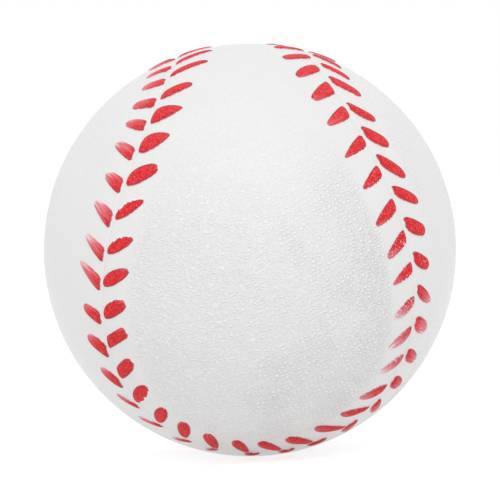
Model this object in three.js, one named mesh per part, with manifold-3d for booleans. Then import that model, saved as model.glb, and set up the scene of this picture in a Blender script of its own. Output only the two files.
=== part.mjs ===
import * as THREE from 'three';
import { mergeVertices } from 'three/addons/utils/BufferGeometryUtils.js';
import Module from 'manifold-3d';

// A soft foam play ball moulded in the shape of a baseball.
// Millimetres, +Z up, origin at the centre of the ball. Field a of the skin has its lobes on -Y and
// +Y and its neck over +Z; field b has its lobes on -X and +X and its neck under -Z, where the ball
// rests. The front is -Y.

// Driving dimensions of the ball
const ballDiameter = 63;
const skinThickness = 1.2;
const coreClearance = 0.3;
const restFlatDepth = 0.2;

// The moulded seam groove that parts the two fields of skin
const seamGap = 0.35;
const grooveWidth = 0.9;
const grooveDepth = 0.3;

// The seam's shape on a ball of radius 1, as shares of it
const seamSwingShare = 0.3684;
const seamRiseShare = 0.8366;

// The raised stitch marks, in pairs like chevrons that point along the seam
const pairCount = 72;
const marksPerRun = 3;
const markStart = 0.45;
const markReach = 4.2;
const markWidth = 2.0;
const markHeight = 0.35;
const markSeat = 0.1;
const markSlant = THREE.MathUtils.degToRad(31);
const chevronTwist = THREE.MathUtils.degToRad(5.5);

// Where the marks of each row lie between one pair and the next, and how far they drift from that
// and back, twice round the ball, as shares of the spacing
const rowA = { side: 1, placeShare: 0.25, driftShare: 0.045 };
const rowB = { side: -1, placeShare: 0.53, driftShare: 0.12 };

// The hair-thin film of paint that keeps the marks of one run together
const filmSize = 0.12;
const filmPlaceShare = 0.45;
const filmHeightShare = 0.45;

// A mark's form, as shares of its reach, width and height from the seam outwards
const stationShares = [0, 0.18, 0.5, 0.82, 1];
const stationWidthShares = [0.84, 1, 0.96, 0.72, 0.3];
const stationHeightShares = [0.5, 0.9, 1, 0.8, 0.35];
const shoulderWidthShare = 0.66;
const shoulderHeightShare = 0.74;

// How finely round surfaces are faceted
const outerDetail = 7;
const innerDetail = 4;
const seamSteps = 96;
const arcSamples = 2880;

// How far a cutting body runs past what it cuts, and how near corners are taken as one
const cutOverrun = 1;
const weldDistance = 0.00001;

const ballRadius = ballDiameter / 2;
const cavityRadius = ballRadius - skinThickness;
const coreRadius = cavityRadius - coreClearance;
const runCount = Math.ceil(pairCount / marksPerRun);

const wasm = await Module();
wasm.setup();

// Conversions between three.js geometry and solids that can be joined and cut

function toSolid(geometry) {
  const bare = geometry.clone();
  bare.deleteAttribute('normal');
  bare.deleteAttribute('uv');
  const merged = mergeVertices(bare, weldDistance);
  return new wasm.Manifold(new wasm.Mesh({
    numProp: 3,
    vertProperties: new Float32Array(merged.attributes.position.array),
    triVerts: new Uint32Array(merged.index.array),
  }));
}

function toGeometry(solid) {
  const mesh = solid.getMesh();
  const geometry = new THREE.BufferGeometry();
  geometry.setAttribute('position', new THREE.BufferAttribute(mesh.vertProperties, 3));
  geometry.setIndex(new THREE.BufferAttribute(mesh.triVerts, 1));
  geometry.computeVertexNormals();
  return geometry;
}

// The seam: one closed curve that winds round the ball

// Unit vector from the ball's centre to the seam at an angle of the curve's parameter.
function seamDirection(angle) {
  const turn = 1 - seamSwingShare;
  return new THREE.Vector3(
    turn * Math.cos(angle) - seamSwingShare * Math.cos(3 * angle),
    turn * Math.sin(angle) + seamSwingShare * Math.sin(3 * angle),
    seamRiseShare * Math.cos(2 * angle),
  ).normalize();
}

// A frame on the ball at the seam: outwards, along the seam, and towards field a.
function seamFrame(angle) {
  const step = Math.PI / arcSamples;
  const outwards = seamDirection(angle);
  const along = seamDirection(angle + step).sub(seamDirection(angle - step));
  along.addScaledVector(outwards, -along.dot(outwards)).normalize();
  const toFieldA = new THREE.Vector3().crossVectors(outwards, along);
  return { outwards, along, toFieldA };
}

// Length of the seam up to each sample, as a share of the whole loop.
function seamLengthShares() {
  const sums = [0];
  let last = seamDirection(0);
  for (let i = 1; i <= arcSamples; i += 1) {
    const next = seamDirection((2 * Math.PI * i) / arcSamples);
    sums.push(sums[i - 1] + next.distanceTo(last));
    last = next;
  }
  return sums.map((sum) => sum / sums[arcSamples]);
}

const lengthShares = seamLengthShares();

// The parameter's angle at a share of the seam's length.
function seamAngleAt(share) {
  const wanted = share - Math.floor(share);
  let high = lengthShares.findIndex((value) => value > wanted);
  if (high < 1) high = 1;
  const low = lengthShares[high - 1];
  const between = (wanted - low) / (lengthShares[high] - low);
  return (2 * Math.PI * (high - 1 + between)) / arcSamples;
}

// A point at a radius, reached over the ball's surface from the seam: so far along the seam's
// direction and so far out towards one side of it.
function surfacePoint(frame, alongSeam, outFromSeam, side, radius) {
  const arc = Math.hypot(alongSeam, outFromSeam) / ballRadius;
  if (arc === 0) return frame.outwards.clone().multiplyScalar(radius);
  const heading = frame.along.clone().multiplyScalar(alongSeam)
    .addScaledVector(frame.toFieldA, side * outFromSeam)
    .normalize();
  return frame.outwards.clone().multiplyScalar(Math.cos(arc))
    .addScaledVector(heading, Math.sin(arc))
    .multiplyScalar(radius);
}

// A closed body lofted through sections of equally many points; a ring of them closes on itself.
function loft(sections, isRing, flipped) {
  const size = sections[0].length;
  const positions = sections.flat().flatMap((point) => point.toArray());
  const index = [];
  const addTriangle = (a, b, c) => index.push(...(flipped ? [a, c, b] : [a, b, c]));
  const spans = isRing ? sections.length : sections.length - 1;
  for (let i = 0; i < spans; i += 1) {
    const here = i * size;
    const there = ((i + 1) % sections.length) * size;
    for (let j = 0; j < size; j += 1) {
      const next = (j + 1) % size;
      addTriangle(here + j, here + next, there + next);
      addTriangle(here + j, there + next, there + j);
    }
  }
  if (!isRing) {
    const end = (sections.length - 1) * size;
    for (let j = 1; j < size - 1; j += 1) {
      addTriangle(0, j + 1, j);
      addTriangle(end, end + j, end + j + 1);
    }
  }
  const geometry = new THREE.BufferGeometry();
  geometry.setAttribute('position', new THREE.Float32BufferAttribute(positions, 3));
  geometry.setIndex(index);
  return geometry;
}

// The ball's core and skin

function sphere(radius, detail) {
  return toSolid(new THREE.IcosahedronGeometry(radius, detail));
}

// The body that cuts the skin apart along the seam: a slit with a wider groove at the surface.
function seamCutter() {
  const grooveFloor = ballRadius - grooveDepth;
  const flare = 1 + cutOverrun / grooveDepth;
  const halfGap = seamGap / 2;
  const halfMouth = halfGap + (grooveWidth / 2 - halfGap) * flare;
  const profile = [
    [-halfGap, cavityRadius - cutOverrun],
    [halfGap, cavityRadius - cutOverrun],
    [halfGap, grooveFloor],
    [halfMouth, ballRadius + cutOverrun],
    [-halfMouth, ballRadius + cutOverrun],
    [-halfGap, grooveFloor],
  ];
  const sections = [];
  for (let i = 0; i < seamSteps; i += 1) {
    const frame = seamFrame((2 * Math.PI * i) / seamSteps);
    sections.push(profile.map(([across, radius]) => surfacePoint(frame, 0, across, 1, radius)));
  }
  return toSolid(loft(sections, true, false));
}

// Everything below the small flat that the soft ball rests on.
function restCutter() {
  const cutter = new THREE.BoxGeometry(ballDiameter, ballDiameter, ballRadius);
  cutter.translate(0, 0, restFlatDepth - ballDiameter + ballRadius / 2);
  return toSolid(cutter);
}

// The two fields of skin, field b (which holds the rest flat) first.
function skinFields() {
  const whole = sphere(ballRadius, outerDetail).subtract(restCutter());
  const shell = whole.subtract(sphere(cavityRadius, innerDetail));
  const fields = shell.subtract(seamCutter()).decompose();
  return fields.sort((one, other) => one.boundingBox().min[2] - other.boundingBox().min[2]);
}

// The stitch marks

function markSlantAt(angle, side) {
  return markSlant + side * chevronTwist * Math.sin(2 * angle);
}

function markFrame(index, row) {
  const evenAngle = seamAngleAt((index + row.placeShare) / pairCount);
  const drift = row.driftShare * Math.sin(2 * evenAngle);
  const angle = seamAngleAt((index + row.placeShare + drift) / pairCount);
  return { angle, frame: seamFrame(angle) };
}

// How far along the seam a mark's middle line lies from its centre, at a distance from the seam.
// The outer end trails behind the end at the seam.
function trailAt(outFromSeam, slant) {
  return (markStart + markReach / 2 - outFromSeam) * Math.tan(slant);
}

function stitchMark(index, row) {
  const { side } = row;
  const { angle, frame } = markFrame(index, row);
  const slant = markSlantAt(angle, side);
  const base = ballRadius + markSeat;
  const sections = stationShares.map((share, i) => {
    const out = markStart + share * markReach;
    const middle = trailAt(out, slant);
    const halfWidth = (stationWidthShares[i] * markWidth) / 2 / Math.cos(slant);
    const height = stationHeightShares[i] * markHeight;
    const shoulder = halfWidth * shoulderWidthShare;
    return [
      surfacePoint(frame, middle - halfWidth, out, side, base),
      surfacePoint(frame, middle + halfWidth, out, side, base),
      surfacePoint(frame, middle + shoulder, out, side, base + height * shoulderHeightShare),
      surfacePoint(frame, middle, out, side, base + height),
      surfacePoint(frame, middle - shoulder, out, side, base + height * shoulderHeightShare),
    ];
  });
  return toSolid(loft(sections, false, side > 0));
}

// A three-sided hair of paint from the middle line of one mark to that of the next.
function paintFilm(index, row) {
  const { side } = row;
  const out = markStart + filmPlaceShare * markReach;
  const radius = ballRadius + markSeat + filmHeightShare * markHeight;
  const half = filmSize / 2;
  const sections = [index, index + 1].map((mark) => {
    const { angle, frame } = markFrame(mark, row);
    const middle = trailAt(out, markSlantAt(angle, side));
    return [
      surfacePoint(frame, middle, out - half, side, radius - half),
      surfacePoint(frame, middle, out, side, radius + half),
      surfacePoint(frame, middle, out + half, side, radius - half),
    ];
  });
  return toSolid(loft(sections, false, side > 0));
}

// Some neighbouring marks of one row, held together by the film.
function stitchRun(run, row) {
  const first = run * marksPerRun;
  const last = Math.min(first + marksPerRun, pairCount) - 1;
  let solid = stitchMark(first, row);
  for (let index = first + 1; index <= last; index += 1) {
    solid = solid.add(paintFilm(index - 1, row));
    solid = solid.add(stitchMark(index, row));
  }
  return solid;
}

// Materials and the finished ball

const skinMaterial = new THREE.MeshStandardMaterial({ color: 0xededed, roughness: 0.55, metalness: 0 });
const foamMaterial = new THREE.MeshStandardMaterial({ color: 0xe9e4d6, roughness: 0.9, metalness: 0 });
const paintMaterial = new THREE.MeshStandardMaterial({ color: 0xdc2f34, roughness: 0.5, metalness: 0 });

function namedMesh(name, solid, material) {
  const mesh = new THREE.Mesh(toGeometry(solid), material.clone());
  mesh.name = name;
  return mesh;
}

const ball = new THREE.Group();
ball.name = 'ball';

const [fieldB, fieldA] = skinFields();
ball.add(namedMesh('foam_core', sphere(coreRadius, innerDetail), foamMaterial));
ball.add(namedMesh('skin_panel_a', fieldA, skinMaterial));
ball.add(namedMesh('skin_panel_b', fieldB, skinMaterial));

for (let run = 0; run < runCount; run += 1) {
  const number = String(run + 1).padStart(2, '0');
  ball.add(namedMesh(`red_stitches_a_${number}`, stitchRun(run, rowA), paintMaterial));
  ball.add(namedMesh(`red_stitches_b_${number}`, stitchRun(run, rowB), paintMaterial));
}

export default ball;
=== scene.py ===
"""Looks of a soft foam baseball: white moulded skin, foam core and brushed red stitch marks.

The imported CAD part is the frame. Lengths are in metres, and +Z is up from the small flat on which
the ball rests. The two fields of skin meet at one closed seam, and a row of raised, painted marks
lies on each side of it.
"""

from __future__ import annotations

import logging
import math
import random
from bisect import bisect_left, bisect_right
from dataclasses import dataclass, field, replace
from enum import Enum
from functools import partial
from typing import Any

import bmesh
import bpy
from mathutils import Matrix, Vector, noise
from mathutils.kdtree import KDTree


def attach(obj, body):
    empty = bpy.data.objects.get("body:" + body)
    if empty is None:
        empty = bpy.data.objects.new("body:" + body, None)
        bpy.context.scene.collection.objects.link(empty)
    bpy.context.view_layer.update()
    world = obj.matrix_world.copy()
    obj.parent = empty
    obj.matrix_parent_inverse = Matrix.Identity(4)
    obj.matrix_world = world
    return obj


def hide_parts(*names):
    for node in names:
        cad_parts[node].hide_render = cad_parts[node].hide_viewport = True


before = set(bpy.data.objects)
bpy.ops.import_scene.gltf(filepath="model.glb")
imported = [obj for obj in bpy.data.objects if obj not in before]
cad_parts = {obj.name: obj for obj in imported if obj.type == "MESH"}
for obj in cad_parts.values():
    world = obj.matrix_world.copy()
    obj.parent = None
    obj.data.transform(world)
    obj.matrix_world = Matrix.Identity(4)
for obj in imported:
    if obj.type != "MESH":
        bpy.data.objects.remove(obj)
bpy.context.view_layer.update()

MM = 0.001
BALL_RADIUS = 31.5 * MM
REST_HEIGHT = -31.3 * MM
SEAM_SAMPLES = 2880
PAIR_COUNT = 72
MARKS_PER_RUN = 3

# A lower and an upper limit
Span = tuple[float, float]
Triple = tuple[float, float, float]

# Sockets of a Map Range node: the span it reads and the span it gives
FROM = (1, 2)
TO = (3, 4)
SMOOTH = {"interpolation_type": "SMOOTHSTEP"}

log = logging.getLogger("foam_baseball")


class Field(Enum):
    """The two fields of skin, each with the side of the seam on which it lies."""

    A = 1
    B = -1

    @property
    def letter(self) -> str:
        """Gives the letter that the part's names use."""
        return self.name.lower()


@dataclass(frozen=True)
class SeamFrame:
    """One point of the seam, with unit vectors outwards, along it and towards field a."""

    outward: Vector
    along: Vector
    toward_a: Vector


@dataclass
class BaseballSeam:
    """The closed seam curve that parts the two fields of skin.

    Args:
        swing: How strongly the curve swings out into its four lobes.
        rise: How high the lobes climb above and below the ball's middle.
    """

    swing: float = 0.3684
    rise: float = 0.8366
    shares: list[float] = field(default_factory=list)

    def __post_init__(self) -> None:
        """Measures the seam's length, so that marks can be spaced evenly."""
        step = math.tau / SEAM_SAMPLES
        points = [self.direction(step * i) for i in range(SEAM_SAMPLES + 1)]
        self.shares = [0.0]
        for before, after in zip(points, points[1:]):
            self.shares.append(self.shares[-1] + (after - before).length)
        whole = self.shares[-1]
        self.shares = [share / whole for share in self.shares]

    def direction(self, angle: float) -> Vector:
        """Gives the unit vector from the ball's centre to the seam.

        Args:
            angle: The curve's own parameter, in radians.

        Returns:
            The direction of that point of the seam.
        """
        main = 1 - self.swing
        return Vector((
            main * math.cos(angle) - self.swing * math.cos(3 * angle),
            main * math.sin(angle) + self.swing * math.sin(3 * angle),
            self.rise * math.cos(2 * angle),
        )).normalized()

    def angle_at(self, share: float) -> float:
        """Gives the parameter at a share of the seam's length.

        Args:
            share: A share of the whole length; whole turns are taken off.

        Returns:
            The parameter, in radians from 0 to a full turn.
        """
        share %= 1.0
        low = bisect_right(self.shares, share) - 1
        span = self.shares[low + 1] - self.shares[low]
        return math.tau / SEAM_SAMPLES * (low + (share - self.shares[low]) / span)

    def frame_at(self, angle: float) -> SeamFrame:
        """Gives the seam's frame at a parameter.

        Args:
            angle: The parameter, in radians.

        Returns:
            Its directions outwards, along the seam and towards field a.
        """
        reach = 0.001
        outward = self.direction(angle)
        along = self.direction(angle + reach) - self.direction(angle - reach)
        along = (along - outward * along.dot(outward)).normalized()
        return SeamFrame(outward, along, outward.cross(along))

    def place(self, at: SeamFrame, along: float, out: float, radius: float) -> Vector:
        """Gives a point on the ball beside a point of the seam.

        Args:
            at: The seam's frame there.
            along: Arc length along the seam, in metres.
            out: Arc length square to the seam, positive towards field a.
            radius: Distance from the ball's centre.

        Returns:
            The point.
        """
        arc = math.hypot(along, out) / BALL_RADIUS
        if arc == 0:
            return at.outward * radius
        heading = (at.along * along + at.toward_a * out).normalized()
        return (at.outward * math.cos(arc) + heading * math.sin(arc)) * radius


def linear_colour(code: str) -> tuple[float, float, float, float]:
    """Turns an sRGB hex colour to the linear values that Blender's sockets take.

    Args:
        code: Six hex digits after a hash sign.

    Returns:
        Red, green, blue and full alpha.
    """
    shares = [int(code[i:i + 2], 16) / 255 for i in (1, 3, 5)]
    red, green, blue = (s / 12.92 if s <= 0.04045 else ((s + 0.055) / 1.055) ** 2.4 for s in shares)
    return red, green, blue, 1.0


def per_metre(pitch_mm: float) -> float:
    """Gives the texture scale at which one feature is that many millimetres wide."""
    return 1000 / pitch_mm


def add_node(tree: bpy.types.NodeTree, kind: str, inputs: dict[Any, Any] | None = None,
             **settings: Any) -> bpy.types.Node:
    """Adds a shader node with its settings and links.

    Args:
        tree: The node tree that takes it.
        kind: Blender's name for the kind of node, after the words that all shader nodes share.
        inputs: What each input socket gets, by name or number: a value, an sRGB hex colour, a socket
            to link, or a node whose first output is linked. Several numbers take as many values.
        settings: The node's own properties.

    Returns:
        The new node.
    """
    node = tree.nodes.new("ShaderNode" + kind)
    for name, value in settings.items():
        setattr(node, name, value)
    for key, value in (inputs or {}).items():
        if isinstance(key, tuple):
            for number, single in zip(key, value):
                node.inputs[number].default_value = single
            continue
        if isinstance(value, bpy.types.Node):
            value = value.outputs[0]
        elif isinstance(value, str):
            value = linear_colour(value)
        if isinstance(value, bpy.types.NodeSocket):
            tree.links.new(value, node.inputs[key])
        else:
            node.inputs[key].default_value = value
    return node


def new_material(name: str) -> tuple[bpy.types.Material, partial]:
    """Makes an empty node material.

    Args:
        name: The material's name.

    Returns:
        The empty material, and the function that adds nodes to it.
    """
    material = bpy.data.materials.new(name)
    material.use_nodes = True
    material.node_tree.nodes.clear()
    return material, partial(add_node, material.node_tree)


@dataclass(frozen=True)
class MouldedSkin:
    """White integral skin of polyurethane foam, moulded against a finely etched tool.

    The eye sees an even white with a satin sheen and a fine grain, which fades out to a smooth band
    along the seam. The grain is short level wrinkles about 0.5 mm long, which give way to round
    pebbles about 0.65 mm apart on the lower right.
    """

    name: str = "white_polyurethane_skin_moulded"
    # white and shade: the crests' painted highlight and the hollows' painted shade, between which the
    # clouds also vary
    white: str = "#FAFAFA"
    shade: str = "#D8D8D8"
    ior: float = 1.48
    roughness: float = 0.4
    wrinkle_pitch_mm: float = 0.28
    wrinkle_stretch: Triple = (1.8, 1.8, 0.92)
    wrinkle_tilt: float = -0.1
    wrinkle_crest: Span = (0.4, 0.75)
    wrinkle_height: Span = (0.4, 0.74)
    pebble_pitch_mm: float = 0.58
    pebble_stretch: Triple = (1.2, 1.2, 0.95)
    pebble_tilt: float = -0.4
    pebble_disorder: float = 0.66
    pebble_slope: Span = (0.02, 0.35)
    pebble_height: Span = (0.34, 0.9)
    # The way towards which pebbles replace wrinkles, in patches
    pebbled_way: Triple = (0.5, 0.0, -0.2)
    pebbled_share: Span = (0.42, 0.82)
    patch_pitch_mm: float = 14.0
    grain_depth: float = 0.25 * MM
    mean_height: float = 0.5
    # Painted shade and highlight: how far the grain's hollows are greyed and its crests whitened
    relief_shade_and_highlight: float = 0.9
    smooth_band_mm: Span = (3.6, 6.4)
    # The grain is fainter at the crown and on both flanks
    crown_grain: float = 0.3
    crown_rise: Span = (0.0, 0.7 * BALL_RADIUS)
    flank_grain: float = 0.15
    flank_reach: Span = (0.65 * BALL_RADIUS, 0.86 * BALL_RADIUS)
    cloud_pitch_mm: float = 6.0
    cloud_strength: float = 0.12
    mean_white: float = 0.48

    def build(self) -> bpy.types.Material:
        """Makes the material.

        Returns:
            The skin's material, which reads the attribute seam_reach, in millimetres.
        """
        material, add = new_material(self.name)
        place = add("TexCoord").outputs["Object"]

        # Short level wrinkles
        drawn_out = add("Mapping", {
            "Vector": place, "Rotation": (0.0, self.wrinkle_tilt, 0.0), "Scale": self.wrinkle_stretch},
            vector_type="TEXTURE")
        folds = add("TexNoise", {
            "Vector": drawn_out, "Scale": per_metre(self.wrinkle_pitch_mm), "Detail": 0.0})
        wrinkles = add("MapRange", {
            "Value": folds, FROM: self.wrinkle_crest, TO: self.wrinkle_height}, **SMOOTH)

        # Round pebbles, each the middle of a cell
        flattened = add("Mapping", {
            "Vector": place, "Rotation": (0.0, self.pebble_tilt, 0.0), "Scale": self.pebble_stretch},
            vector_type="TEXTURE")
        cells = add("TexVoronoi", {
            "Vector": flattened, "Scale": per_metre(self.pebble_pitch_mm),
            "Randomness": self.pebble_disorder}, feature="DISTANCE_TO_EDGE")
        pebbles = add("MapRange", {
            "Value": cells, FROM: self.pebble_slope, TO: self.pebble_height}, **SMOOTH)

        # Where the one gives way to the other
        patches = add("TexNoise", {
            "Vector": place, "Scale": per_metre(self.patch_pitch_mm), "Detail": 1.0})
        aside = add("VectorMath", {0: place, 1: self.pebbled_way}, operation="DOT_PRODUCT")
        leaning = add("Math", {
            0: aside.outputs["Value"], 1: 1 / BALL_RADIUS, 2: patches}, operation="MULTIPLY_ADD")
        pebbled = add("MapRange", {"Value": leaning, FROM: self.pebbled_share}, **SMOOTH)
        relief = add("Mix", {"Factor": pebbled, 2: wrinkles, 3: pebbles}, data_type="FLOAT")

        # Smooth band beside the seam, and fainter grain at the crown and the flanks
        reach = add("Attribute", attribute_name="seam_reach")
        band = add("MapRange", {"Value": reach.outputs["Fac"], FROM: self.smooth_band_mm}, **SMOOTH)
        sides = add("SeparateXYZ", {0: place})
        crown = add("MapRange", {
            "Value": sides.outputs["Z"], FROM: self.crown_rise, TO: (1.0, self.crown_grain)}, **SMOOTH)
        off_middle = add("Math", {0: sides.outputs["X"]}, operation="ABSOLUTE")
        flank = add("MapRange", {
            "Value": off_middle, FROM: self.flank_reach, TO: (1.0, self.flank_grain)}, **SMOOTH)
        strength = add("Math", {0: crown, 1: flank}, operation="MULTIPLY")
        grain = add("Math", {0: band, 1: strength}, operation="MULTIPLY")
        swing = add("Math", {0: relief, 1: self.mean_height}, operation="SUBTRACT")
        height = add("Math", {0: swing, 1: grain}, operation="MULTIPLY")

        # Colour: painted shade greys the hollows and painted highlight whitens the crests; the skin is
        # softly cloudy
        clouds = add("TexNoise", {
            "Vector": place, "Scale": per_metre(self.cloud_pitch_mm), "Detail": 3.0})
        cloudy = add("Math", {
            0: clouds, 1: self.cloud_strength, 2: self.mean_white}, operation="MULTIPLY_ADD")
        level = add("Math", {
            0: height, 1: self.relief_shade_and_highlight, 2: cloudy}, operation="MULTIPLY_ADD", use_clamp=True)
        colour = add("Mix", {"Factor": level, 6: self.shade, 7: self.white}, data_type="RGBA")

        bump = add("Bump", {"Strength": 1.0, "Distance": self.grain_depth, "Height": height})
        shader = add("BsdfPrincipled", {
            "Base Color": colour.outputs[2], "Roughness": self.roughness, "IOR": self.ior,
            "Normal": bump})
        add("OutputMaterial", {"Surface": shader})
        return material


@dataclass(frozen=True)
class OpenCellFoam:
    """Soft polyurethane foam, foamed in the mould and open-celled inside its skin.

    The eye would see a matt, creamy body full of tiny round cells.
    """

    name: str = "open_cell_polyurethane_foam"
    cream: str = "#E9E2CF"
    cell_shadow: str = "#BDB299"
    cell_pitch_mm: float = 0.8
    cell_wall: Span = (0.15, 0.6)
    cell_depth: float = 0.2 * MM
    cloud_pitch_mm: float = 7.0
    mean_cream: float = 0.3
    roughness: float = 0.95
    ior: float = 1.5

    def build(self) -> bpy.types.Material:
        """Makes the material.

        Returns:
            The foam's material.
        """
        material, add = new_material(self.name)
        place = add("TexCoord").outputs["Object"]
        cells = add("TexVoronoi", {
            "Vector": place, "Scale": per_metre(self.cell_pitch_mm)}, feature="F1")
        clouds = add("TexNoise", {
            "Vector": place, "Scale": per_metre(self.cloud_pitch_mm), "Detail": 2.0})
        wall = add("MapRange", {"Value": cells.outputs["Distance"], FROM: self.cell_wall}, **SMOOTH)
        shade = add("Math", {0: wall, 1: clouds, 2: self.mean_cream}, operation="MULTIPLY_ADD")
        colour = add("Mix", {"Factor": shade, 6: self.cell_shadow, 7: self.cream}, data_type="RGBA")
        bump = add("Bump", {"Strength": 1.0, "Distance": self.cell_depth, "Height": wall})
        shader = add("BsdfPrincipled", {
            "Base Color": colour.outputs[2], "Roughness": self.roughness, "IOR": self.ior,
            "Normal": bump})
        add("OutputMaterial", {"Surface": shader})
        return material


@dataclass(frozen=True)
class BrushedPaint:
    """Red flexible paint, brushed by hand over the raised white marks of the skin.

    The eye sees a strong red that is mottled where the grain shows through it, darker at each mark's
    rim and low on the ball as painted shade, and pink, streaked or missing where the brush ran dry.
    """

    name: str = "red_flexible_paint_brushed"
    red: str = "#E01F26"
    deep_red: str = "#C00C13"
    bright_red: str = "#EC4E53"
    # Dark mauve red of the painted shade along each mark's rim
    rim_red: str = "#9C3A48"
    thin_red: str = "#E8707A"
    mauve: str = "#B989A2"
    white: str = "#FCFCFC"
    ior: float = 1.49
    gloss: float = 0.3
    roughness: float = 0.6
    mottle_pitch_mm: float = 0.29
    mottle_span: Span = (0.3, 0.72)
    red_place: float = 0.45
    coat_depth: float = 0.035 * MM
    coat_mottle: float = 0.5
    # Painted shade: how much darker the red gets from the ball's middle to its foot
    painted_shade_below: float = 0.085
    # The coat's outline, in shares of the mark's width; a length share counts end_weight times
    outline: Span = (0.035, 0.13)
    end_weight: float = 1.9
    ragged_pitch_mm: float = 0.5
    ragged_share: float = 0.08
    # Painted shade along each mark's rim: the span of the outline it covers, and its strength
    pool: Span = (0.13, 0.24)
    rim_shade_strength: float = 0.75
    streak_scale: Triple = (1.6, 9.0, 0.0)
    streak_spread: float = 57.0
    streak_strength: float = 1.3
    # The coat wears off along the mark and towards its lower edge
    wearing_way: Triple = (0.8, -0.35, 0.0)
    fade_strength: float = 1.1
    pink_wear: Span = (1.2, 1.75)
    bare_wear: Span = (1.65, 2.25)
    fleck_strength: float = 1.3
    fleck_span: Span = (1.04, 1.24)
    fleck_cover: float = 0.25
    tooth_scale: Triple = (15.0, 1.2, 0.0)
    tooth_spread: float = 91.0
    tooth_edge: float = 0.05

    def build(self) -> bpy.types.Material:
        """Makes the material.

        Returns:
            The paint's material, which reads the UV map mark_map and the attribute brushing.
        """
        material, add = new_material(self.name)
        place = add("TexCoord").outputs["Object"]
        chart = add("UVMap", uv_map="mark_map")
        brushing = add("Attribute", attribute_name="brushing")
        wear = add("SeparateColor", {0: brushing.outputs["Color"]})
        fade, dryness, teeth = wear.outputs[0], wear.outputs[1], wear.outputs[2]
        own = add("CombineXYZ", {2: brushing.outputs["Alpha"]})
        mottle = add("TexNoise", {
            "Vector": place, "Scale": per_metre(self.mottle_pitch_mm), "Detail": 1.0})
        ragged = add("TexNoise", {
            "Vector": place, "Scale": per_metre(self.ragged_pitch_mm), "Detail": 2.0})

        # How far a point lies inside the mark's outline
        centred = add("VectorMath", {0: chart, 1: (0.5, 0.5, 0.0)}, operation="SUBTRACT")
        aside = add("VectorMath", {0: centred}, operation="ABSOLUTE")
        rooms = add("VectorMath", {
            0: aside, 1: (-self.end_weight, -1.0, 0.0), 2: (self.end_weight / 2, 0.5, 0.0)},
            operation="MULTIPLY_ADD")
        sides = add("SeparateXYZ", {0: rooms})
        room = add("Math", {0: sides.outputs[0], 1: sides.outputs[1]}, operation="MINIMUM")
        edge = add("Math", {0: ragged, 1: self.ragged_share, 2: room}, operation="MULTIPLY_ADD")
        inside = add("MapRange", {"Value": edge, FROM: self.outline}, **SMOOTH)

        # Brush streaks run the length of the mark
        streak_place = add("VectorMath", {0: chart, 1: self.streak_scale}, operation="MULTIPLY")
        streak_own = add("VectorMath", {
            0: own, 1: (0.0, 0.0, self.streak_spread), 2: streak_place}, operation="MULTIPLY_ADD")
        streaks = add("TexNoise", {"Vector": streak_own, "Scale": 1.0, "Detail": 2.0, "Roughness": 0.6})

        # The coat thins to pink towards the outer end and the lower edge, and ends where it is dry
        way = add("VectorMath", {0: chart, 1: self.wearing_way}, operation="DOT_PRODUCT")
        spent = add("Math", {
            0: fade, 1: self.fade_strength, 2: way.outputs["Value"]}, operation="MULTIPLY_ADD")
        thinning = add("Math", {0: streaks, 1: self.streak_strength, 2: spent}, operation="MULTIPLY_ADD")
        pink = add("MapRange", {"Value": thinning, FROM: self.pink_wear}, **SMOOTH)
        wet = add("MapRange", {"Value": thinning, FROM: self.bare_wear, TO: (1.0, 0.0)}, **SMOOTH)

        # Dry brushing leaves flecks of the white pad bare
        bare = add("Math", {0: mottle, 1: self.fleck_strength, 2: dryness}, operation="MULTIPLY_ADD")
        filled = add("MapRange", {
            "Value": bare, FROM: self.fleck_span, TO: (1.0, self.fleck_cover)}, **SMOOTH)

        # Teeth: white notches across one long edge
        tooth_place = add("VectorMath", {0: chart, 1: self.tooth_scale}, operation="MULTIPLY")
        tooth_own = add("VectorMath", {
            0: own, 1: (0.0, 0.0, self.tooth_spread), 2: tooth_place}, operation="MULTIPLY_ADD")
        tooth = add("TexNoise", {"Vector": tooth_own, "Scale": 1.0, "Detail": 0.0})
        across = add("SeparateXYZ", {0: chart})
        notch = add("Math", {0: tooth, 1: teeth}, operation="MULTIPLY")
        gap = add("Math", {0: notch, 1: across.outputs[1]}, operation="SUBTRACT")
        unnotched = add("MapRange", {"Value": gap, FROM: (0.0, self.tooth_edge), TO: (1.0, 0.0)})

        edge_or_wet = add("Math", {0: inside, 1: wet}, operation="MINIMUM")
        whole = add("Math", {0: filled, 1: unnotched}, operation="MINIMUM")
        cover = add("Math", {0: edge_or_wet, 1: whole}, operation="MULTIPLY")

        # Red: mottled by the grain beneath, with painted shade that darkens it low on the ball and along
        # its rim
        upward = add("SeparateXYZ", {0: place})
        mottle_and_shade_below = add("Math", {
            0: upward.outputs["Z"], 1: self.painted_shade_below / BALL_RADIUS, 2: mottle},
            operation="MULTIPLY_ADD")
        mottled = add("MapRange", {"Value": mottle_and_shade_below, FROM: self.mottle_span})
        body = add("ValToRGB", {0: mottled})
        stops = body.color_ramp.elements
        stops[0].color = linear_colour(self.deep_red)
        stops[1].color = linear_colour(self.bright_red)
        stops.new(self.red_place).color = linear_colour(self.red)
        # Painted shade along the rim
        rim_shading = add("MapRange", {
            "Value": edge, FROM: self.pool, TO: (self.rim_shade_strength, 0.0)}, **SMOOTH)
        rim = add("Math", {0: rim_shading, 1: edge_or_wet}, operation="MULTIPLY")
        rimmed = add("Mix", {"Factor": rim, 6: body, 7: self.rim_red}, data_type="RGBA")
        tint = add("Mix", {"Factor": dryness, 6: self.thin_red, 7: self.mauve}, data_type="RGBA")
        red = add("Mix", {"Factor": pink, 6: rimmed.outputs[2], 7: tint.outputs[2]}, data_type="RGBA")
        colour = add("Mix", {"Factor": cover, 6: self.white, 7: red.outputs[2]}, data_type="RGBA")

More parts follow.
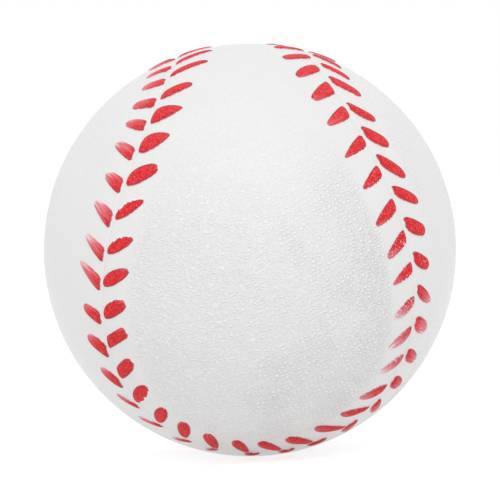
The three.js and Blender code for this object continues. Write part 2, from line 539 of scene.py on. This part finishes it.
        coat = add("Math", {0: mottle, 1: self.coat_mottle, 2: cover}, operation="MULTIPLY_ADD")
        bump = add("Bump", {"Strength": 1.0, "Distance": self.coat_depth, "Height": coat})
        shader = add("BsdfPrincipled", {
            "Base Color": colour.outputs[2], "Roughness": self.roughness, "IOR": self.ior,
            "Specular IOR Level": self.gloss, "Normal": bump})
        add("OutputMaterial", {"Surface": shader})
        return material


@dataclass(frozen=True)
class StudioFloor:
    """Plain pale card on which the ball stands; it keeps the ball's shadow, and its faint glow lights
    the ball from below.
    """

    name: str = "pale_studio_card"
    pale: str = "#C2C2C2"
    paler: str = "#C6C6C6"
    fibre_pitch_mm: float = 1.5
    # Glow that all rays see, which lights the ball from below; the lift only the camera and mirrors see
    glow: float = 0.325
    lift: float = 0.325

    def build(self) -> bpy.types.Material:
        """Makes the material, which glows faintly for all rays and brighter for the camera and mirrors.

        Returns:
            The floor's material.
        """
        material, add = new_material(self.name)
        place = add("TexCoord").outputs["Object"]
        fibre = add("TexNoise", {
            "Vector": place, "Scale": per_metre(self.fibre_pitch_mm), "Detail": 2.0})
        colour = add("Mix", {"Factor": fibre, 6: self.pale, 7: self.paler}, data_type="RGBA")
        card = add("BsdfDiffuse", {"Color": colour.outputs[2]})
        strength = add("Math", {
            0: seen_ray(material.node_tree), 1: self.lift, 2: self.glow}, operation="MULTIPLY_ADD")
        lift = add("Emission", {"Strength": strength})
        both = add("AddShader", {0: card, 1: lift})
        add("OutputMaterial", {"Surface": both})
        return material


def seen_ray(tree: bpy.types.NodeTree) -> bpy.types.NodeSocket:
    """Gives 1 where the camera, a mirror or glass sees the surface, and 0 for its light on others.

    Args:
        tree: The node tree that takes the nodes.

    Returns:
        The socket that holds it.
    """
    path = add_node(tree, "LightPath")
    first = add_node(tree, "Math", {
        0: path.outputs["Is Camera Ray"], 1: path.outputs["Is Glossy Ray"]}, operation="MAXIMUM")
    return add_node(tree, "Math", {
        0: first, 1: path.outputs["Is Transmission Ray"]}, operation="MAXIMUM").outputs[0]


def make_piece(bm: bmesh.types.BMesh, name: str, material: bpy.types.Material) -> bpy.types.Object:
    """Turns a finished bmesh into an object at the origin, and reports it.

    Args:
        bm: The mesh, which is freed.
        name: The piece's name.
        material: Its material.

    Returns:
        The object, linked to the scene.
    """
    mesh = bpy.data.meshes.new(name)
    bm.to_mesh(mesh)
    bm.free()
    mesh.materials.append(material)
    piece = bpy.data.objects.new(name, mesh)
    bpy.context.scene.collection.objects.link(piece)
    log.info("%s: %d faces", piece.name, len(mesh.polygons))
    return piece


@dataclass
class SkinPanel:
    """One figure-eight field of the ball's skin, from the seam groove to the middle of its lobes."""

    seam: BaseballSeam
    side: Field
    columns: int = 720
    far_rows: int = 24
    near_distances_mm: tuple[float, ...] = (0.0, 0.07, 0.15, 0.25, 0.38, 0.55, 0.85, 1.4, 2.2)
    thickness: float = 1.2 * MM
    groove_depth: float = 0.08 * MM
    groove_reach: float = 0.34 * MM
    band_dip: float = 0.05 * MM
    band_reach: float = 2.6 * MM
    spine_reach: float = math.radians(107)
    spine_slope: float = 1.15
    spine_flattening: float = 1.7
    # The far rows' spacing, partly linear and partly square
    linear_spacing: float = 0.55
    square_spacing: float = 0.45
    weld_distance: float = 0.002 * MM

    @property
    def node(self) -> str:
        """Gives the name of the CAD node that this panel stands for."""
        return f"skin_panel_{self.side.letter}"

    def spine_point(self, outward: Vector) -> Vector:
        """Gives the middle line's point that lies nearest to a point of the seam.

        Args:
            outward: The seam point's direction.

        Returns:
            The direction of that point, between the middles of the two lobes.
        """
        if self.side is Field.A:
            turn = math.atan2(outward.y, outward.z)
        else:
            turn = math.atan2(outward.x, -outward.z)
        bend = math.tanh(self.spine_slope * turn / self.spine_reach)
        turn = self.spine_reach * bend / math.tanh(self.spine_flattening)
        turn = max(-self.spine_reach, min(self.spine_reach, turn))
        if self.side is Field.A:
            return Vector((0, math.sin(turn), math.cos(turn)))
        return Vector((math.sin(turn), 0, -math.cos(turn)))

    def surface_radius(self, distance: float) -> float:
        """Gives the skin's radius at a distance from the seam.

        Args:
            distance: Arc length from the seam, in metres.

        Returns:
            The radius, less the moulded groove and the slight dip of the smooth band.
        """
        groove = self.groove_depth * math.exp(-(distance / self.groove_reach) ** 2)
        dip = self.band_dip * math.exp(-(distance / self.band_reach) ** 4)
        return BALL_RADIUS - groove - dip

    def place(self, column_share: float, row: int) -> Vector:
        """Gives one point of the panel's outer face.

        Args:
            column_share: Share of the seam's length at which its column starts.
            row: The row, counted from the seam.

        Returns:
            The point.
        """
        at = self.seam.frame_at(self.seam.angle_at(column_share))
        near = self.near_distances_mm
        out = near[min(row, len(near) - 1)] * MM
        point = self.seam.place(at, 0.0, out * self.side.value, 1.0)
        distance = out
        if row >= len(near):
            share = (row - len(near) + 1) / self.far_rows
            share = self.linear_spacing * share + self.square_spacing * share * share
            middle = self.spine_point(at.outward)
            distance = out + share * point.angle(middle) * BALL_RADIUS
            point = point.slerp(middle, share)
        point = point * self.surface_radius(distance)
        point.z = max(point.z, REST_HEIGHT)
        return point

    def build(self, material: bpy.types.Material) -> None:
        """Makes the panel: its grid, its groove and flat, and its thickness.

        Args:
            material: The skin's material.
        """
        rows = len(self.near_distances_mm) - 1 + self.far_rows
        bm = bmesh.new()
        bmesh.ops.create_grid(bm, x_segments=self.columns, y_segments=rows, size=0.5)
        for vertex in bm.verts:
            column_share = vertex.co.x + 0.5
            row = round((vertex.co.y + 0.5) * rows)
            vertex.co = self.place(column_share, row)
        bmesh.ops.remove_doubles(bm, verts=bm.verts, dist=self.weld_distance)
        bmesh.ops.recalc_face_normals(bm, faces=bm.faces)
        if sum(face.normal.dot(face.calc_center_median()) for face in bm.faces) < 0:
            bmesh.ops.reverse_faces(bm, faces=bm.faces)
        tree = KDTree(SEAM_SAMPLES)
        for i in range(SEAM_SAMPLES):
            tree.insert(self.seam.direction(math.tau * i / SEAM_SAMPLES) * BALL_RADIUS, i)
        tree.balance()
        reach = bm.verts.layers.float.new("seam_reach")
        for vertex in bm.verts:
            vertex[reach] = tree.find(vertex.co)[2] / MM
        bmesh.ops.solidify(bm, geom=bm.faces[:], thickness=self.thickness)
        for face in bm.faces:
            face.smooth = True
        piece = make_piece(bm, f"moulded_skin_{self.side.letter}", material)
        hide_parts(self.node)
        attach(piece, "root")


@dataclass
class FoamCore:
    """The soft body inside the skin, a little uneven where the foam met the denser skin."""

    radius: float = 30.0 * MM
    rest_height: float = -29.8 * MM
    unevenness: float = 0.06 * MM
    lump_pitch_mm: float = 5.0

    def build(self, material: bpy.types.Material) -> None:
        """Makes the core.

        Args:
            material: The foam's material.
        """
        bm = bmesh.new()
        bmesh.ops.create_icosphere(bm, subdivisions=6, radius=self.radius)
        for vertex in bm.verts:
            lump = noise.noise(vertex.co * per_metre(self.lump_pitch_mm))
            vertex.co = vertex.co * (1 - self.unevenness * (1 + lump) / self.radius)
            vertex.co.z = max(vertex.co.z, self.rest_height)
        for face in bm.faces:
            face.smooth = True
        piece = make_piece(bm, "soft_foam_core", material)
        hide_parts("foam_core")
        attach(piece, "root")


@dataclass(frozen=True)
class BrushStroke:
    """Form and paint of one stitch mark.

    Args:
        reach: How far the mark runs out from the seam, in millimetres.
        width: Its greatest width, in millimetres.
        slant: How far it leans along the seam, in degrees.
        heel: Width of its seam end, as a share of the greatest width.
        tip: Width of its outer end, as the same share.
        bulge: Share of its reach at which it is widest.
        start: Distance from the seam to the heel, in millimetres.
        shift: How far the painter was off the even spacing, in millimetres along the seam.
        bow: How far its middle line bends, as a share of its reach.
        heel_rounding: Share of its reach over which the heel is rounded.
        tip_rounding: The same for the tip.
        fade: How early the coat thins to pink, from 0 to 1.
        dryness: How much of the pad the brush left bare, from 0 to 1.
        teeth: Depth of the white notches at one long edge; below 0 they are at the other.
    """

    reach: float
    width: float
    slant: float
    heel: float
    tip: float
    bulge: float
    start: float = 0.25
    shift: float = 0.0
    bow: float = 0.0
    heel_rounding: float = 0.12
    tip_rounding: float = 0.2
    fade: float = 0.0
    dryness: float = 0.0
    teeth: float = 0.0

    def blended(self, other: BrushStroke, share: float) -> BrushStroke:
        """Gives a stroke between this one and another.

        Args:
            other: The other stroke.
            share: 0 gives this stroke, 1 the other.

        Returns:
            The stroke between them.
        """
        return BrushStroke(**{
            name: getattr(self, name) * (1 - share) + getattr(other, name) * share
            for name in self.__dataclass_fields__
        })

    def half_width(self, along: float) -> float:
        """Gives half the mark's width at a share of its reach, in metres.

        Args:
            along: 0 at the seam end, 1 at the outer end.

        Returns:
            Half the width, measured square to the mark.
        """
        if along < self.bulge:
            swell = math.sin(math.pi / 2 * along / self.bulge)
            shape = self.heel + (1 - self.heel) * swell
        else:
            swell = math.cos(math.pi / 2 * (along - self.bulge) / (1 - self.bulge))
            shape = self.tip + (1 - self.tip) * swell
        heel_room = min(1.0, along / self.heel_rounding)
        tip_room = min(1.0, (1 - along) / self.tip_rounding)
        shape *= math.sqrt(1 - (1 - heel_room) ** 2) * math.sqrt(1 - (1 - tip_room) ** 2)
        return self.width / 2 * shape * MM


# Kinds of stroke
LEAF = BrushStroke(reach=4.4, width=1.9, slant=28, heel=0.5, tip=0.65, bulge=0.4, bow=-0.03)
SAIL = BrushStroke(reach=4.6, width=2.75, slant=19, heel=0.85, tip=0.1, bulge=0.28,
                   tip_rounding=0.1)
HALF_MOON = BrushStroke(reach=4.2, width=2.75, slant=30, heel=0.6, tip=0.2, bulge=0.33, bow=-0.05)
SLIM_LEAF = BrushStroke(reach=4.0, width=1.8, slant=37, heel=0.5, tip=0.3, bulge=0.45, teeth=0.35)
BLOCK = BrushStroke(reach=4.1, width=1.7, slant=30, heel=0.95, tip=0.95, bulge=0.5,
                    heel_rounding=0.08)
BEAN = BrushStroke(reach=4.5, width=2.1, slant=29, heel=0.55, tip=0.7, bulge=0.5, start=-0.1,
                   heel_rounding=0.2, tip_rounding=0.3)
COMMA = BrushStroke(reach=4.9, width=1.9, slant=26, heel=0.3, tip=0.75, bulge=0.62, start=-0.05,
                    shift=0.2, bow=0.03, tip_rounding=0.25, fade=0.1)
PALE_LEAF = BrushStroke(reach=4.2, width=1.9, slant=24, heel=0.6, tip=0.35, bulge=0.4, dryness=0.3)
FLECKED_WEDGE = BrushStroke(reach=4.3, width=1.75, slant=18, heel=0.85, tip=0.45, bulge=0.25,
                            heel_rounding=0.08, fade=0.22, dryness=0.26, teeth=0.3)
WEDGE = BrushStroke(reach=4.6, width=1.8, slant=20, heel=0.85, tip=0.1, bulge=0.2,
                    heel_rounding=0.08, tip_rounding=0.12, fade=0.12)
FAN = BrushStroke(reach=4.0, width=1.7, slant=21, heel=0.9, tip=0.5, bulge=0.2, start=0.45,
                  shift=1.0, heel_rounding=0.08, fade=0.62)
SPIKE = BrushStroke(reach=4.4, width=1.8, slant=23, heel=1.0, tip=0.35, bulge=0.12, start=0.45,
                    heel_rounding=0.08, tip_rounding=0.1, fade=0.66)
PAD = BrushStroke(reach=3.6, width=2.0, slant=17, heel=1.0, tip=0.45, bulge=0.4, start=0.45,
                  fade=0.4)
DASH = BrushStroke(reach=1.7, width=0.95, slant=24, heel=0.7, tip=0.4, bulge=0.45, start=0.85,
                   fade=0.55, dryness=0.2)
PINK_BEAN = BrushStroke(reach=3.7, width=2.0, slant=21, heel=0.75, tip=0.65, bulge=0.4, start=0.55,
                        shift=0.35, heel_rounding=0.2, tip_rounding=0.3, fade=0.5, dryness=0.12)
PLANK = BrushStroke(reach=3.9, width=1.8, slant=32, heel=0.75, tip=0.65, bulge=0.4, start=0.5,
                    shift=-0.2, heel_rounding=0.14, tip_rounding=0.22)


def half_degrees(angle: float) -> float:
    """Turns a parameter of the seam to degrees from -180 to 0, the same in both halves."""
    return math.degrees(angle) % 180 - 180


@dataclass
class MarkRow:
    """One row of raised, painted stitch marks beside the seam."""

    seam: BaseballSeam
    side: Field
    # Where the row starts, and how far it drifts, in shares of the marks' spacing
    place_share: float
    drift_share: float
    strokes: tuple[BrushStroke, ...]
    seed: int
    height: float = 0.26 * MM
    sink: float = 0.12 * MM
    length_cells: int = 10
    width_cells: int = 6
    side_margin: float = 1.2
    end_margin: float = 0.04
    side_roundness: int = 4
    end_roundness: int = 6
    # How far a single mark may differ from the stroke for its place
    own_reach: float = 0.03
    own_width: float = 0.05
    own_slant: float = 1.5
    own_bow: float = 0.015
    own_fade: float = 0.06
    own_dryness: float = 0.05
    own_teeth: Span = (0.7, 1.3)

    def stroke_at(self, angle: float) -> BrushStroke:
        """Gives the stroke for a place of the seam, between the row's two nearest.

        Args:
            angle: The seam's parameter, in radians.

        Returns:
            The stroke, before its own small differences.
        """
        # The first stroke is that of mark 1; places are taken to the nearest degree
        marks = range(1, len(self.strokes) + 1)
        places = [round(half_degrees(self.mark_angle(index))) for index in marks]
        degrees = half_degrees(angle)
        after = bisect_left(places, degrees)
        if after == 0:
            return self.strokes[0]
        if after == len(places):
            return self.strokes[-1]
        share = (degrees - places[after - 1]) / (places[after] - places[after - 1])
        return self.strokes[after - 1].blended(self.strokes[after], share)

    def mark_angle(self, index: int) -> float:
        """Gives the seam's parameter at the middle of one mark.

        Args:
            index: The mark's number in its row.

        Returns:
            The parameter, in radians.
        """
        even = self.seam.angle_at((index + self.place_share) / PAIR_COUNT)
        drift = self.drift_share * math.sin(2 * even)
        return self.seam.angle_at((index + self.place_share + drift) / PAIR_COUNT)

    def add_mark(self, bm: bmesh.types.BMesh, index: int) -> None:
        """Adds one mark's closed pad to a run.

        Args:
            bm: The run's mesh.
            index: The mark's number in its row.
        """
        own = random.Random(self.seed * 1000 + index)
        angle = self.mark_angle(index)
        at = self.seam.frame_at(angle)
        stroke = self.stroke_at(angle)
        # The white pad stands a little past its paint on all sides
        reach = stroke.reach * (1 + own.uniform(-self.own_reach, self.own_reach)) * MM
        start = stroke.start * MM - self.end_margin * reach
        reach *= 1 + 2 * self.end_margin
        width = self.side_margin * (1 + own.uniform(-self.own_width, self.own_width))
        slant = math.radians(stroke.slant + own.uniform(-self.own_slant, self.own_slant))
        bow = stroke.bow + own.uniform(-self.own_bow, self.own_bow)
        fade = max(0.0, stroke.fade + own.uniform(-self.own_fade, self.own_fade))
        dryness = max(0.0, stroke.dryness + own.uniform(-self.own_dryness, self.own_dryness))
        teeth = abs(stroke.teeth) * own.uniform(*self.own_teeth)
        seed = own.random()
        chart = bm.loops.layers.uv.verify()
        brushing = bm.verts.layers.float_color["brushing"]

        made = bmesh.ops.create_grid(bm, x_segments=self.length_cells,
                                     y_segments=self.width_cells, size=0.5)
        pad = set(made["verts"])
        shares: dict[bmesh.types.BMVert, tuple] = {}
        for vertex in pad:
            along = 0.5 - 0.5 * math.cos(math.pi * (vertex.co.x + 0.5))
            across = -math.cos(math.pi * (vertex.co.y + 0.5))
            side = -across if stroke.teeth < 0 else across
            shares[vertex] = (along, 0.5 + 0.5 * side)
            # The heel is cut along the seam, the tip square to the mark
            half = across * width * stroke.half_width(along)
            out = start + reach * along + half * along * math.sin(slant)
            offset = stroke.shift * MM + (0.5 - along) * reach * math.tan(slant)
            offset -= bow * reach * 4 * along * (1 - along)
            offset += half * ((1 - along) / math.cos(slant) + along * math.cos(slant))
            dome = math.sqrt(max(0.0, 1 - abs(across) ** self.side_roundness))
            dome *= math.sqrt(max(0.0, 1 - abs(2 * along - 1) ** self.end_roundness))
            rise = (self.height + self.sink) * dome - self.sink
            vertex.co = self.seam.place(at, offset, out * self.side.value, BALL_RADIUS + rise)
            vertex[brushing] = (fade, dryness, teeth, seed)
        faces = [face for face in bm.faces if face.verts[0] in pad]
        for face in faces:
            face.smooth = True
            for loop in face.loops:
                loop[chart].uv = shares[loop.vert]
        if sum(face.normal.dot(face.calc_center_median()) for face in faces) < 0:
            bmesh.ops.reverse_faces(bm, faces=faces)
        border = [edge for edge in bm.edges if edge.is_boundary and edge.verts[0] in pad]
        for edge in border:
            edge.smooth = False
        bmesh.ops.holes_fill(bm, edges=border)

    def build_run(self, run: int, material: bpy.types.Material) -> None:
        """Makes the marks that one CAD node holds.

        Args:
            run: The node's number, from 0.
            material: The paint's material.
        """
        number = f"{run + 1:02d}"
        bm = bmesh.new()
        bm.verts.layers.float_color.new("brushing")
        bm.loops.layers.uv.new("mark_map")
        for index in range(run * MARKS_PER_RUN, (run + 1) * MARKS_PER_RUN):
            self.add_mark(bm, index)
        piece = make_piece(bm, f"painted_marks_{self.side.letter}_{number}", material)
        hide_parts(f"red_stitches_{self.side.letter}_{number}")
        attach(piece, "root")

    def build(self, material: bpy.types.Material) -> None:
        """Makes the whole row.

        Args:
            material: The paint's material.
        """
        for run in range(PAIR_COUNT // MARKS_PER_RUN):
            self.build_run(run, material)


@dataclass
class Studio:
    """Plain pale floor, soft light all round with a weak lamp high in front, and the camera."""

    distance: float = 15.44 * BALL_RADIUS
    to_camera: Triple = (-0.04454, -0.99858, 0.02916)
    to_right: Triple = (0.99756, -0.04604, -0.05259)
    lens: float = 228.8
    sensor_width: float = 36.0
    clip: Span = (0.02, 40.0)
    floor_size: float = 8.0
    floor_cells: int = 8
    surround: float = 0.84
    lamp_place: Triple = (0.0, -0.66, 0.58)
    lamp_size: float = 0.5
    lamp_power: float = 1.6

    def build_world(self) -> None:
        """Makes the even surround, which the camera and mirrors see as white."""
        world = bpy.data.worlds.new("white_surround")
        world.use_nodes = True
        world.node_tree.nodes.clear()
        add = partial(add_node, world.node_tree)
        light = add("Background", {"Color": "#FFFFFF", "Strength": self.surround})
        white = add("Background", {"Color": "#FFFFFF", "Strength": 1.0})
        both = add("MixShader", {0: seen_ray(world.node_tree), 1: light, 2: white})
        add("OutputWorld", {"Surface": both})
        bpy.context.scene.world = world

    def build_floor(self) -> None:
        """Makes the floor, level with the ball's flat."""
        bm = bmesh.new()
        cells = self.floor_cells
        bmesh.ops.create_grid(bm, x_segments=cells, y_segments=cells, size=self.floor_size / 2)
        bmesh.ops.translate(bm, verts=bm.verts, vec=(0.0, 0.0, REST_HEIGHT))
        floor = make_piece(bm, "studio_floor", StudioFloor().build())

    def build_lamp(self) -> None:
        """Makes the one lamp, large and soft, high in front of the ball."""
        light = bpy.data.lights.new("soft_lamp", "AREA")
        light.shape = "SQUARE"
        light.size = self.lamp_size
        light.energy = self.lamp_power
        lamp = bpy.data.objects.new("soft_lamp", light)
        place = Vector(self.lamp_place)
        aim = place.to_track_quat("Z", "Y").to_matrix().to_4x4()
        lamp.matrix_world = Matrix.Translation(place) @ aim
        bpy.context.scene.collection.objects.link(lamp)

    def build_camera(self) -> None:
        """Makes the camera at the photograph's viewing angle."""
        data = bpy.data.cameras.new("camera")
        data.lens = self.lens
        data.sensor_width = self.sensor_width
        data.clip_start, data.clip_end = self.clip
        camera = bpy.data.objects.new("camera", data)
        back = Vector(self.to_camera).normalized()
        right = Vector(self.to_right)
        right = (right - back * right.dot(back)).normalized()
        turn = Matrix((right, back.cross(right), back)).transposed().to_4x4()
        camera.matrix_world = Matrix.Translation(back * self.distance) @ turn
        bpy.context.scene.collection.objects.link(camera)
        bpy.context.scene.camera = camera

    def build(self) -> None:
        """Makes the whole studio."""
        self.build_world()
        self.build_floor()
        self.build_lamp()
        self.build_camera()
        bpy.context.scene.view_settings.view_transform = "Standard"


# Each row's strokes in the marks' order, judged for the front half; the back repeats them
INNER_ROW = (
    replace(LEAF, reach=5.2, width=1.5, heel=0.7, tip=0.6, shift=0.5, bow=0.06),
    replace(LEAF, reach=5.3, width=1.75, heel=0.75, tip=0.75, shift=-0.1, bow=0.07),
    replace(LEAF, heel=0.7, tip=0.7, shift=0.7, bow=0.04),
    SAIL,
    replace(HALF_MOON, shift=-0.3),
    replace(LEAF, width=2.4, slant=30, shift=-0.1),
    replace(SLIM_LEAF, width=1.85, tip_rounding=0.12),
    replace(SLIM_LEAF, slant=34, tip=0.4, shift=0.3),
    replace(LEAF, width=2.0, slant=31, tip=0.45, bow=0.0),
    replace(LEAF, reach=4.1, width=2.25, slant=33, start=0.4, bow=0.0, fade=0.12, teeth=0.15),
    replace(BLOCK, shift=-0.3, tip_rounding=0.1),
    replace(BLOCK, reach=3.95, width=2.0, slant=32, heel=0.8, tip=0.8, start=0.1, shift=0.1,
            heel_rounding=0.16),
    replace(BEAN, reach=4.6, start=-0.15, shift=0.35, teeth=-0.35),
    replace(BEAN, width=1.85, heel=0.4, shift=0.45),
    replace(COMMA, width=1.98, slant=29, heel=0.4, start=-0.1, shift=0.05, bow=0.0),
    replace(COMMA, reach=5.2, slant=29, start=-0.35, shift=0.1, bow=0.0),
    replace(COMMA, reach=5.5, width=1.85, heel=0.2, start=-0.3, shift=0.15),
    replace(COMMA, reach=5.0, width=2.1, slant=28, heel=0.25, shift=-0.15),
    replace(COMMA, reach=5.4, width=2.05, slant=25, start=-0.2, shift=-0.3),
    replace(COMMA, reach=6.1, slant=25, heel=0.2, start=-0.45, bow=0.05, fade=0.2, dryness=0.1),
    replace(COMMA, reach=5.3, width=1.75, tip=0.45, bulge=0.55, start=0.0, fade=0.28, dryness=0.15),
    replace(PALE_LEAF, reach=4.6, width=2.1, tip=0.3, shift=-0.5, fade=0.5, dryness=0.2),
    replace(PALE_LEAF, slant=29, tip=0.25, fade=0.75, dryness=0.25),
    replace(PALE_LEAF, width=1.95, slant=26, shift=-0.15, fade=0.72, dryness=0.27),
    replace(PALE_LEAF, shift=-0.1, fade=0.6),
    replace(FLECKED_WEDGE, tip=0.2, shift=0.2, fade=0.3),
    replace(FLECKED_WEDGE, width=1.95, slant=25, shift=-0.3, fade=0.32),
    replace(FLECKED_WEDGE, reach=4.7, width=1.9, slant=22, tip=0.4, shift=-0.4, dryness=0.2),
    replace(WEDGE, reach=4.4, width=1.85, tip=0.25, shift=-0.1, dryness=0.14, teeth=0.3),
    replace(WEDGE, reach=4.9, shift=-0.2, teeth=0.15),
    replace(WEDGE, width=1.95, slant=24, tip=0.3, fade=0.35),
    replace(WEDGE, width=2.4, slant=32, heel=1.0, tip=0.4, shift=-0.3, fade=0.25),
    replace(LEAF, reach=4.9, width=2.1, slant=33, heel=0.65, tip=0.55, start=0.05, shift=-0.3),
    replace(LEAF, reach=4.8, slant=29, heel=0.75, tip=0.7, start=0.0, shift=-0.6),
)
OUTER_ROW = (
    replace(FAN, slant=2, tip=0.6, shift=1.5),
    replace(FAN, width=1.95, slant=5, tip=0.8, fade=0.55),
    replace(FAN, width=2.0, slant=7, tip=0.7, fade=0.5),
    replace(FAN, width=1.8, slant=15, shift=0.2, fade=0.5),
    replace(FAN, reach=4.3, width=1.85, slant=22, shift=-0.3),
    replace(FAN, width=2.1, tip=0.45, shift=-0.1),
    replace(SPIKE, width=2.2, shift=-0.3),
    replace(SPIKE, shift=-0.1),
    replace(SPIKE, reach=4.8, width=2.0, slant=26, tip=0.15, shift=-1.0, fade=0.6),
    replace(PAD, tip=0.6, fade=0.3),
    replace(PAD, reach=4.0, width=2.45, slant=22, tip=0.55),
    replace(PAD, reach=3.4, width=2.2, slant=33, heel=0.7, start=0.7, shift=0.5),
    replace(DASH, reach=3.2, width=1.1, slant=36, start=0.8, shift=0.2, fade=0.5),
    replace(DASH, reach=3.2, slant=38, start=0.8, shift=-0.1),
    replace(DASH, reach=2.5, slant=38, shift=0.3),
    replace(DASH, reach=1.9, width=1.1, slant=30, start=0.95, shift=-0.35, fade=0.8),
    replace(DASH, width=1.9, shift=0.7),
    replace(DASH, width=2.1, start=0.75, shift=0.75, fade=0.5),
    replace(PINK_BEAN, reach=1.9, width=2.9, slant=24, start=0.8, shift=0.2),
    replace(PINK_BEAN, reach=2.9, width=2.1, slant=42, tip=0.4, start=0.75, fade=0.55),
    replace(PINK_BEAN, reach=3.0, width=1.8, slant=36, start=0.75, fade=0.65),
    replace(PINK_BEAN, shift=0.1),
    replace(PINK_BEAN, slant=29, shift=-0.3, fade=0.58),
    replace(PINK_BEAN, width=2.1, slant=31, shift=-0.2, fade=0.75),
    replace(PINK_BEAN, reach=3.6, width=1.65, slant=43, tip=0.25, shift=-0.5),
    replace(PLANK, reach=3.4, width=1.9, slant=35, fade=0.1, dryness=0.15),
    replace(PLANK, reach=4.2, width=2.05, shift=0.0),
    replace(PLANK, reach=4.7, start=0.6),
    replace(PLANK, reach=4.1, width=1.95, slant=41, heel=0.85, shift=-0.55),
    replace(PLANK, width=2.3, heel=0.9, start=0.55, shift=-0.4),
    replace(PLANK, reach=4.0, width=1.75, slant=34, heel=0.9, start=0.65, shift=-0.5, bow=0.06),
    replace(PLANK, reach=4.3, width=2.15, slant=36, heel=0.85, start=0.65, shift=0.4),
    replace(PLANK, width=1.7, slant=38, start=1.1, shift=0.2, bow=-0.04),
)


def main() -> None:
    """Builds the ball piece by piece, then the studio round it."""
    logging.basicConfig(level=logging.INFO, format="%(name)s: %(message)s")
    seam = BaseballSeam()
    skin = MouldedSkin().build()
    paint = BrushedPaint().build()
    FoamCore().build(OpenCellFoam().build())
    for side in Field:
        SkinPanel(seam, side).build(skin)
    MarkRow(seam, Field.A, 0.25, 0.045, INNER_ROW, seed=4).build(paint)
    MarkRow(seam, Field.B, 0.53, 0.12, OUTER_ROW, seed=9).build(paint)
    Studio().build()
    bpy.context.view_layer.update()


if __name__ == "__main__":
    main()
